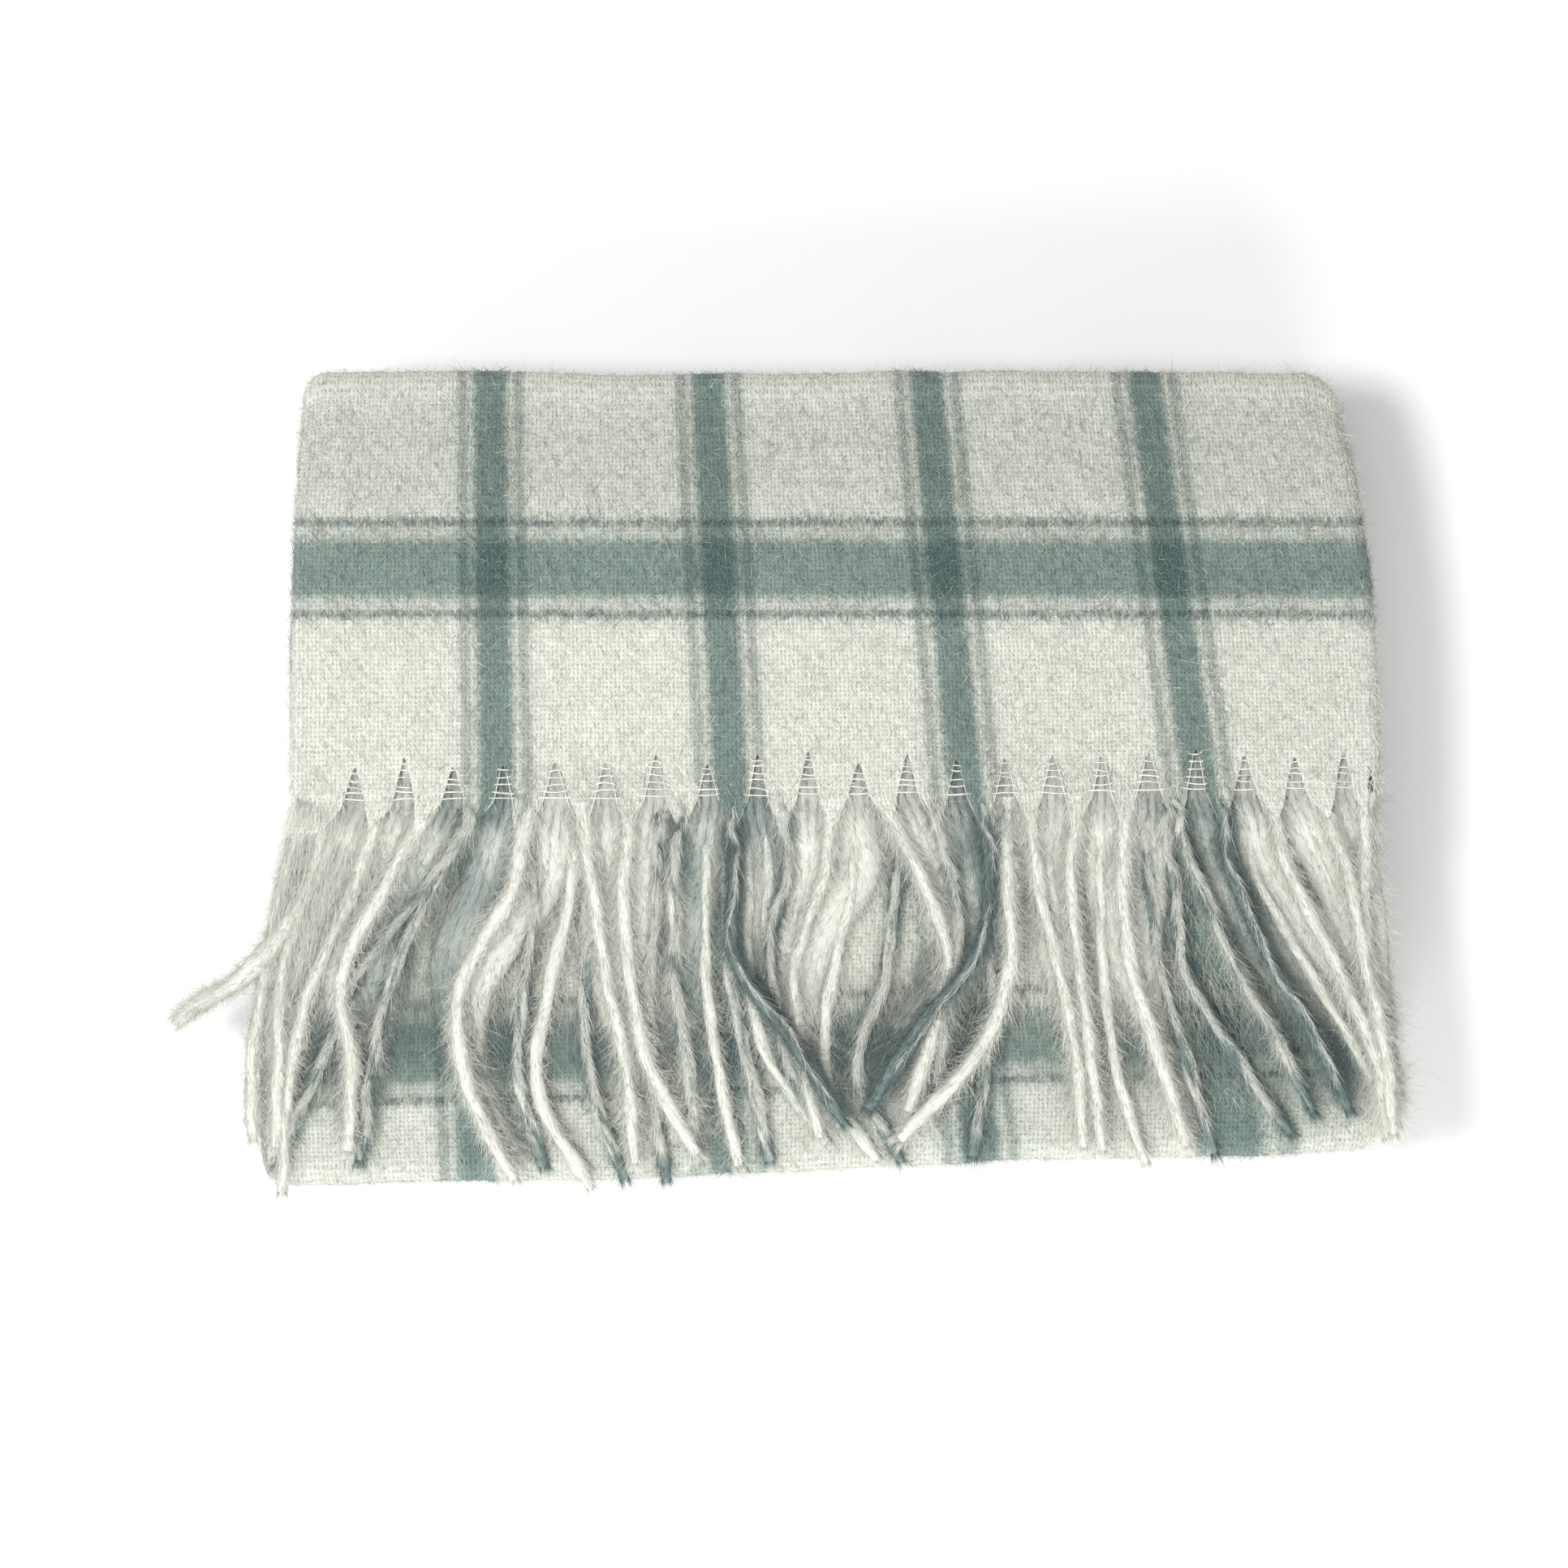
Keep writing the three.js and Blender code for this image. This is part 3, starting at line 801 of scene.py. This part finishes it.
def tassel(path, kind, teal, shade, seed, root_half, hairs, root_depth=0.85, halo=0.05, coarse=1):
    """One tassel as a twisted, slightly flattened rope, and its loose fibres.

    seed gives it its own randomness. root_half and root_depth are half its width and thickness in
    the hem. hairs is how many fibres it has, and halo how much darker those at its sides are
    painted, as painted shade. shade is painted shade over the whole rope, lower for the tassels
    that lie deeper.
    coarse is how many times longer its rings are, and a coarse rope has fewer sides.
    """
    rng = default_rng(seed)
    radius, flat, turns, lobes, mixing = KINDS[kind]
    is_matted = kind == "matted"
    gone = lambda line: np.cumsum(np.linalg.norm(np.diff(line, axis=0), axis=1))
    length = gone(path)[-1]
    knots = path[np.linspace(0, len(path) - 1, 24).astype(int)]
    path = spline(knots, max(8, int(length / (RING_STEP * coarse))))
    tangent, aside, up = frame_along(path)
    s = np.concatenate([[0], gone(path)])
    sides = SIDES if coarse == 1 else FEW_SIDES
    theta = np.arange(sides) * 2 * math.pi / sides
    twist = 2 * math.pi * turns * s / 100 + rng.uniform(0, 6.28)
    swell = 1 + 0.17 * side_wander(s / 13, seed * 1.7 + 0.5)
    swell = swell + 0.08 * side_wander(s / 4, seed * 2.3 + 0.5)
    gather = smooth(s, 0, 13)
    taper = 1 - 0.2 * smooth(s, s[-1] - 7, s[-1])
    if is_matted:
        taper = 1 - 0.65 * smooth(s, 0.5 * s[-1], s[-1])
    half = (root_half * (1 - gather) + radius * gather) * swell * taper
    depth = (root_depth * (1 - gather) + radius * flat * gather) * swell * taper
    around = theta - twist[:, None]
    rope = 1 + gather[:, None] * (lobes * np.cos(2 * around) + 0.045 * np.cos(5 * around + 1.3))
    rope = rope + 0.035 * side_wander(s[:, None] / 2.1 + seed, theta * 2.2)
    cos, sin = np.cos(theta)[None, :, None], np.sin(theta)[None, :, None]
    ring = aside[:, None] * cos * (half[:, None] * rope)[..., None]
    ring = ring + up[:, None] * sin * (depth[:, None] * rope)[..., None]
    points = path[:, None] + ring
    streaks = side_wander(s[:, None] / 16 + seed * 3.1, around * 1.1 + 7.5)
    tone = teal + mixing * np.tanh(2.2 * streaks)
    if kind in STRANDS:  # dark at the tip
        tone = tone + 0.8 * smooth(s, s[-1] - 12, s[-1] - 3)[:, None]
    tone = np.clip(tone, 0, 1)
    folded = np.where(np.arange(sides) > sides // 2, 2 * math.pi - theta, theta)
    down = np.broadcast_to(s[:, None] + seed * 37.0, around.shape)
    yarn = np.stack([down, folded * radius + twist[:, None] * radius, tone], -1)
    rings = len(path)
    # painted shade and highlight: each rope is painted lighter along its top and darker down its
    # sides
    around_shade = 0.68 + 0.37 * np.clip(np.sin(theta), 0, 1)
    # painted shade: the matted rows are painted darker near their roots, behind the gaps in the hem
    # where they lie deep
    sunk = 1 - smooth(s, 12, 26) if is_matted else np.zeros(rings)
    fields = {
        "yarn": yarn.reshape(-1, 3),
        "shade": (shade * (1 - 0.3 * sunk[:, None]) * around_shade).ravel(),
    }
    # loose fibres: those on the ridge lie along it, and those at the sides stand off as a halo and
    # are painted darker, as painted shade
    row = (rng.uniform(0.0, 1, hairs) ** 0.95 * (rings - 1.001)).astype(int)
    haired = np.sin(theta) > (-1.1 if is_matted else -0.5)
    weight = np.where(haired, 0.9 + 0.4 * np.abs(np.cos(theta)), 0)
    column = rng.choice(sides, hairs, p=weight / weight.sum())
    keep = s[row] > rng.uniform(0, 6, hairs)
    row, column = row[keep], column[keep]
    n = len(row)
    off_ridge = 1 - np.clip(np.sin(theta[column]), 0, 1)
    brush = rng.uniform(0, 1, n) < BRUSH_SHARE
    row = np.where(brush, rings - 1, row)
    outward = unit(ring[row, column] * np.array([1, 1, 0.8]))
    root = path[row] + ring[row, column] * rng.uniform(0.7, 0.99, n)[:, None]
    root = root + tangent[row] * rng.uniform(-0.8, 0.8, n)[:, None]
    lean = np.abs(rng.normal(0, 1, n)) * (0.26 + 0.5 * off_ridge) + 0.05
    lean = np.minimum(lean, 1.25)
    helical = np.cross(tangent[row], outward)
    along = np.where(brush | (rng.uniform(0, 1, n) < 0.75), np.cos(lean), -np.cos(lean))[:, None]
    spread = np.where(brush, 0.32 * rng.uniform(0, 1, n), np.sin(lean))[:, None]
    direction = tangent[row] * along + outward * spread
    direction = direction + helical * rng.normal(0.05, 0.22, n)[:, None]
    direction[:, 2] = np.clip(direction[:, 2], -0.15, 0.3)
    shaded = np.where(brush, 0.2, off_ridge * (0.4 + lean))
    colour = tone[row, column] + halo * shaded * rng.uniform(0.5, 1.7, n)
    # painted shade: the fibres behind the hem's gaps are made more teal, and so darker
    colour = colour + 0.22 * sunk[row]
    if not is_matted:
        patchy = np.clip(0.4 + side_wander(s[row] / 4.5 + seed * 5.1, theta[column] * 0.9), 0, 1)
        colour = colour + 0.13 * patchy * rng.uniform(0.2, 1.6, n)
    stand = 1.2 + 0.5 * off_ridge * rng.uniform(0, 1, n) + 0.5 * is_matted
    reach = np.where(brush, 0.8, stand)
    hair = (root, unit(direction), np.clip(colour, 0, 1), reach)
    return points.reshape(-1, 3), *tube_faces(rings, sides), fields, hair


def hair_mesh(name, hairs, seed, length=(3.0, 0.95)):
    """One object of many tassels' loose fibres. length is the shape and scale of a gamma draw."""
    rng = default_rng(seed)
    root, direction, teal, reach = (np.concatenate([h[i] for h in hairs]) for i in range(4))
    n = len(root)
    reach = reach * (rng.gamma(length[0], length[1], n) + 0.8)
    width = rng.uniform(*HAIR_WIDTH, n)
    return fibre_object(name, root, direction, reach, width, teal, 0.09, rng)


def rope_piece(name, ropes):
    """One object of one or more tassels."""
    points, faces, caps, fields, start = [], [], [], {}, 0
    for p, fs, cap, extra, _ in ropes:
        points.append(p)
        faces += [f + start for f in fs]
        caps += [c + start for c in cap]
        for key, value in extra.items():
            fields.setdefault(key, []).append(value)
        start += len(p)
    fields = {key: np.concatenate(value) for key, value in fields.items()}
    return mesh_object(name, np.concatenate(points), faces + caps, [YARN], **fields)


def hanging_path(root_x, moves, tip_y, rest_z, root_z, tip_drop=2.0):
    """From inside the hem, down off the flap's layers and out over the panel below."""
    hem = HEM_Y + HEM_TILT * root_x - HEM_SHIFT
    step = (tip_y - hem) / 4
    knots = [
        (root_x, hem - 1.0, root_z),
        (root_x + moves[0] * 0.34, hem + 0.38 * step, root_z - 0.2),
    ]
    for quarter, move in enumerate(moves):
        z = rest_z if quarter < 3 else rest_z - tip_drop
        knots.append((root_x + move, hem + step * (quarter + 1), z - 0.8))
    return spline(knots, 90)


def strand(path, radius, seed, teal, count, width):
    """Fibres of another colour in a broken strand that meanders along the top of a tassel."""
    rng = default_rng(seed)
    tangent, aside, up = frame_along(path)
    t = np.linspace(0, 1, len(path))
    sway = np.sin(t * rng.uniform(14, 20) + rng.uniform(0, 6))
    sway = sway + 0.6 * np.sin(t * rng.uniform(34, 44))
    sway = np.clip(sway * 0.5 + rng.normal(0, 0.25), -1, 1)[:, None]
    line = path + aside * sway * radius * 0.9
    line = line + up * (np.sqrt(1 - sway**2 * 0.8) * radius * 0.85 + 0.85)
    row = rng.integers(4, len(path) - 7, count)
    row = row[side_wander(row / 5.0, seed * 1.3) > rng.uniform(-0.8, 0.35, count)]
    n = len(row)
    along = unit(line[row + 3] - line[row])
    root = line[row] + aside[row] * rng.normal(0, width, n)[:, None]
    root = root + up[row] * rng.uniform(-0.3, 0.6, n)[:, None]
    direction = along + aside[row] * rng.normal(0, 0.2, n)[:, None]
    direction = direction + up[row] * rng.normal(0, 0.05, n)[:, None]
    return root, unit(direction), np.full(n, teal), rng.uniform(1.0, 1.7, n)


def hang(o):
    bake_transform(o)


fringe_pieces, fringe_hair = [], []


def add_tassel(node, spec, root_z, seed, root_half, shade, hairs):
    root_x, moves, tip_y, teal, kind, rest_z = spec
    path = hanging_path(root_x, moves, tip_y, rest_z, root_z)
    rope = tassel(path, kind, teal, shade, seed, root_half=root_half, hairs=hairs)
    o = rope_piece(node + "_rope", [rope])
    hang(o)
    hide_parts(node)
    fringe_pieces.append(o)
    fringe_hair.append(rope[4])
    for n, (strand_teal, count, width) in enumerate(STRANDS.get(kind, ())):
        own_seed = seed + 500 + 400 * n
        fringe_hair.append(strand(path, KINDS[kind][0], own_seed, strand_teal, count, width))


# shade is painted shade: the under row is painted a little darker than the rows above it
for key, row, root_z, seed, root_half, shade, hairs in (
    ("top", TOP_ROW, TOP_ROOT_Z, 10, 3.4, 1.0, 5600),
    ("under", UNDER_ROW, UNDER_ROOT_Z, 50, 3.0, 0.93, 3000),
    ("risen", RISEN_ROW, UNDER_ROOT_Z + 1.5, 80, 3.0, 1.0, 5600),
):
    for i, spec in enumerate(row):
        node = f"{key}_tassel_{i + 1:02d}"
        add_tassel(node, spec, root_z, seed + i, root_half, shade, hairs)

# the tassel that has strayed out over the left side, painted a little darker as painted shade
stray_knots = [(-148, -4, 52.3), (-152, -14, 52.2), (-165, -40, 51.5)]
stray_knots += [(-181, -61, 50.8), (-196, -70, 42.0), (-206, -77, 31.5)]
stray = tassel(spline(stray_knots, 90), "stray", 0.06, 0.9, 91, root_half=3.0, hairs=5000)
stray_rope = rope_piece("stray_tassel_rope", [stray])
hang(stray_rope)
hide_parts("stray_tassel")
fringe_pieces.append(stray_rope)
fringe_hair.append(stray[4])

FRINGE_STRIPE, FRINGE_STRIPES_APART = -106.9, 72.2


def from_stripe(x):
    """How far x is from the nearest of the four stripes, at the hem."""
    x = np.asarray(x)[..., None]
    return np.abs(x - FRINGE_STRIPE - FRINGE_STRIPES_APART * np.arange(4)).min(-1)


# the two deepest layers' tassels, matted together under the others
CREAM_END = -160, -128  # left of this there is no teal in the matted rows
matted_rng = default_rng(33)
matted = []
for i in range(len(TOP_ROW) - 1):
    a, b = TOP_ROW[i], TOP_ROW[i + 1]
    towards = a if matted_rng.uniform() < 0.5 else b
    root = GAPS[i] + matted_rng.uniform(-1.5, 1.5)
    share = np.array([0.25, 0.75, 1.0, 1.0])
    target = towards[0] + np.array(towards[1]) - root
    straight = (np.array(a[1]) + np.array(b[1])) / 2
    moves = tuple(straight * (1 - share) + target * share)
    teal = 0.02 + (0.12 + 0.4 * (1 - smooth(from_stripe(root), 8, 20))) * smooth(root, *CREAM_END)
    path = hanging_path(root, moves, towards[2] + 8, 50.6, DEEP_ROOT_Z, tip_drop=0.8)
    y = path[0, 1]
    lining = spline([(root, y + 13, 53.9), (root, y + 6, 53.8), tuple(path[0])], 20)
    path = np.concatenate([lining[:-1], path])
    shape = {"root_half": 5.5, "root_depth": 0.5, "hairs": 6000, "halo": 0.02}
    # painted shade: the matted rows are painted a little darker, as they lie under the others
    matted.append(tassel(path, "matted", teal, 0.92, 120 + i, **shape))
matted_fringe = rope_piece("matted_fringe", matted)
hang(matted_fringe)
fringe_pieces.append(matted_fringe)
fringe_hair += [m[4] for m in matted]


def on_panel(spot):
    """Which of these places lie well inside the panel's left and right edges."""
    left, right = outline(spot[:, 1])
    return (spot[:, 0] > left + 4) & (spot[:, 0] < right - 5)


# a thin veil of loose fibres fills the spaces between the tassels
HIGH_VEIL, LOW_VEIL = 24000, 34000  # fibres all the way down, and more of them in the lower half
VEIL = HIGH_VEIL + LOW_VEIL
veil_rng = default_rng(66)
high = veil_rng.beta(1.1, 1.7, HIGH_VEIL)
low = np.clip(veil_rng.normal(0.76, 0.12, LOW_VEIL), 0, 0.999)
share = np.concatenate([high, low])  # of the way down
veil_x = veil_rng.uniform(-170, 172, VEIL)
moves = np.array([t[1] for t in TOP_ROW], float)
drift = np.array([np.interp(veil_x, ROOTS, moves[:, q]) for q in range(4)])
quarter = np.minimum((share * 4).astype(int), 3)
steps = np.concatenate([drift[:1], np.diff(drift, axis=0)])
slope = steps[quarter, np.arange(VEIL)] / 27
x = veil_x + drift[quarter, np.arange(VEIL)]
spot = np.stack([x, -8 - 92 * share, 50.3 + veil_rng.uniform(-0.6, 0.9, VEIL)], -1)
across = slope + veil_rng.normal(0, 0.3, VEIL)
flow = np.stack([across, -np.ones(VEIL), veil_rng.normal(0, 0.05, VEIL)], -1)
veil_teal = 0.12 + 0.14 * pack_wave(veil_x / 9, share * 5)
veil_teal = veil_teal + 0.25 * (1 - smooth(from_stripe(veil_x), 6, 18))
veil_teal = veil_teal + 0.6 * np.exp(-(((share - 0.82) / 0.13) ** 2))  # over the band below
veil_teal = veil_teal * smooth(veil_x, *CREAM_END)
veil = (spot, unit(flow), np.clip(veil_teal, 0, 1), veil_rng.uniform(1.2, 2.2, VEIL))
fringe_hair.append([a[on_panel(spot)] for a in veil])

# at its left end the hem runs out into soft cream fibres, most under it and a few over its edge
for count, low, high, top in ((2600, -72, -2, 54.5), (700, -15, -7, 56.3)):
    along = veil_rng.beta(1.6, 1, count)
    y = low + (high - low) * along
    x = -164 + 30 * veil_rng.beta(1, 1.5, count) * (1 - along * (top > 55)) + 0.22 * y
    spot = np.stack([x, y, top + 0.012 * y + veil_rng.uniform(-0.9, 0.9, count)], -1)
    flow = [veil_rng.normal(-0.22, 0.16, count), -np.ones(count), veil_rng.normal(0, 0.04, count)]
    soft = (spot, unit(np.stack(flow, -1)), np.zeros(count), veil_rng.uniform(1.2, 2.4, count))
    fringe_hair.append([a[on_panel(spot + np.array([3.0, 0, 0]))] for a in soft])

fringe_fuzz = hair_mesh("fringe_fuzz", fringe_hair, 71)
hang(fringe_fuzz)
fringe_pieces.append(fringe_fuzz)

# the fringe at the far end, pressed flat under the pack in two rows
far_rng = default_rng(44)
far, far_z = [], {0: 5.9, 1: 2.1}
for i in range(44):
    level = i % 2
    root = -160 + (i // 2) * 14.4 + 5 * level + far_rng.uniform(-1, 1)
    drift = np.cumsum(far_rng.normal(0, 2.6, 4))
    z = far_z[level]
    knots = [(root, 5.0, z)] + [(root + d, 6 + (q + 1) * 27.5, z) for q, d in enumerate(drift)]
    count = (root - FIRST_STRIPE) / STRIPES_APART
    teal = 0.75 if abs(count - round(count)) * STRIPES_APART < 8 else 0.04
    shape = {"root_half": 4.4, "hairs": 350, "coarse": 1.5}
    far.append(tassel(spline(knots, 90), "pressed", teal, 0.9, 200 + i, **shape))
far_fringe = rope_piece("far_fringe", far)
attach(far_fringe, "folded_pack")
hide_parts("far_end_fringe")
far_fuzz = hair_mesh("far_fringe_fuzz", [f[4] for f in far], 72, length=(4.0, 0.35))
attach(far_fuzz, "folded_pack")

THREAD_RINGS, THREAD_SIDES = 13, 6


def thread(line, radius):
    """A single bare thread of cream yarn along a line."""
    _, a, b = frame_along(line)
    rings, sides = THREAD_RINGS, THREAD_SIDES
    theta = np.arange(sides) * 2 * math.pi / sides
    ring = a[:, None] * np.cos(theta)[None, :, None] + b[:, None] * np.sin(theta)[None, :, None]
    points = (line[:, None] + ring * radius).reshape(-1, 3)
    along, around = np.repeat(np.arange(rings) * 0.5, sides), np.tile(theta * 0.3, rings)
    yarn = np.stack([along, around, np.zeros(rings * sides)], -1)
    fields = {"yarn": yarn, "shade": np.full(rings * sides, 1.08)}
    return points, *tube_faces(rings, sides), fields, None


# the last weft threads, which cross the gaps between the tassels
rung_rng = default_rng(9)
rungs = []
for centre, depth, half in zip(GAPS, GAP_DEPTH, GAP_HALF):
    hem = HEM_Y + HEM_TILT * centre - HEM_SHIFT
    for step in range(6):
        up_by = 0.2 + step * 2.2 + rung_rng.uniform(-0.5, 0.5)
        reach = half * (1 - up_by / depth) + 1.3 + (0.8 if step == 0 else 0.0)
        if up_by > depth - 1.5:
            continue
        t = np.linspace(-1, 1, THREAD_RINGS)
        bow = rung_rng.normal(0, 0.35)
        tilt = rung_rng.normal(0, 0.18)
        y = hem + up_by + bow * (t**2 - 0.4) + tilt * t
        line = np.stack([centre + t * reach, y, 55.7 + 0.35 * (1 - t**2)], -1)
        rungs.append(thread(line, rung_rng.uniform(0.17, 0.27)))
    # the warp threads at each side of the gap show pale where they gather into the tassels
    for side in (-1, 1):
        t = np.linspace(0, 1, THREAD_RINGS)
        y = hem + 0.75 * depth - t * (0.75 * depth + 11)
        below = np.clip((hem - y) / TOOTH, 0, 1.2)
        open_at = half * (1 - np.clip((y - hem) / depth, 0, 1)) + 3.6 * below**1.2
        nearest = np.abs(ROOTS - centre - side * 7).argmin()
        lean = (ROOT_LEAN[nearest] * np.clip(hem - y, 0, None)) * 0.8
        line = np.stack([centre + side * (open_at + 0.35) + lean, y, 55.9 - 1.0 * below], -1)
        rungs.append(thread(line, 0.17))
weft_rungs = rope_piece("hem_weft_threads", rungs)
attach(weft_rungs, "front_flap")

# ---- the three lengths of cloth

flap, flap_v = cloth_piece(
    "flap_cloth",
    0,
    SEAM_FLAP,
    (70, 8, 400, 10, 90, 8, 70),
    ((CUT_ZONE, 1.4), (STARTS[1], 3.0), (TOP_TURN_END, 0.9), (SEAM_FLAP, 5.0)),
    hem_at="start",
)
bend(flap)
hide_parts("front_flap_panel")

upper, upper_v = cloth_piece(
    "upper_cloth",
    SEAM_FLAP,
    SEAM_MIDDLE,
    (60, 8, 90, 10, 120, 8, 60),
    ((STARTS[3], 3.5), (FRONT_TURN_END, 0.9), (SEAM_MIDDLE, 6.0)),
)
bend(upper)
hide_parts("upper_panel")

stops = []
for turn in range(2, PANELS - 1):
    stops += [(STARTS[2 * turn + 1], 8.0), (STARTS[2 * turn + 2], 1.05)]
stops += [(LENGTH - CUT_ZONE, 8.0), (LENGTH, 1.8)]
steps = (50, 8, 70, 10, 70, 8, 50)
pack = cloth_piece("pack_cloth", SEAM_MIDDLE, LENGTH, steps, stops, hem_at="end")[0]
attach(pack, "folded_pack")
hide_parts("bottom_panel", "second_panel", "third_panel", "fourth_panel", "fifth_panel")

# nap: (parts of the section, from v, to v, how many fibres)
OUTER = (LEFT_UP, A_RUN, RIGHT_TURN)
SIDE_TURNS = (LEFT_UP, RIGHT_TURN, LEFT_DOWN)
flap_nap, nap_v = nap(
    "flap_nap",
    [
        (OUTER, 0, STARTS[1], 62000),
        ((A_RUN,), -TOOTH, 4.0, 7000),
        (OUTER, STARTS[1], TOP_TURN_END, 7000),
        (SIDE_TURNS, 0, SEAM_FLAP, 4500),
        ((D_RUN,), 0, STARTS[1], 9000),
        ((D_RUN,), TOP_TURN_END, SEAM_FLAP, 6000),
    ],
    81,
)
bend(flap_nap)
upper_nap, nap_v = nap(
    "upper_nap",
    [
        ((D_RUN,), SEAM_FLAP, STARTS[3], 42000),
        ((D_RUN,), STARTS[3], FRONT_TURN_END, 6500),
        (SIDE_TURNS, SEAM_FLAP, SEAM_MIDDLE, 8000),
        ((A_RUN,), FRONT_TURN_END, SEAM_MIDDLE, 4000),
    ],
    82,
)
bend(upper_nap)
pack_patches = [(SIDE_TURNS, SEAM_MIDDLE, LENGTH, 20000), ((A_RUN,), SEAM_MIDDLE, STARTS[5], 7000)]
for turn in range(2, PANELS - 1):
    face = A_RUN if turn % 2 == 0 else D_RUN
    pack_patches.append(((face,), STARTS[2 * turn + 1] - 6, STARTS[2 * turn + 2] + 6, 9000))
pack_nap, nap_v = nap("pack_nap", pack_patches, 83)
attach(pack_nap, "folded_pack")

# ---- floor

floor_material, floor_shader = material("studio_floor", 0.9, 0.0)
floor_shader.inputs["Base Color"].default_value = (0.93, 0.93, 0.93, 1)
half_floor = 6000.0
floor = mesh_object(
    "floor",
    np.array([(-1, -1, 0), (1, -1, 0), (1, 1, 0), (-1, 1, 0)]) * half_floor,
    [np.array([[0, 1, 2, 3]])],
    [floor_material],
    smooth_shaded=False,
)
floor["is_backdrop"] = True

low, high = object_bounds()
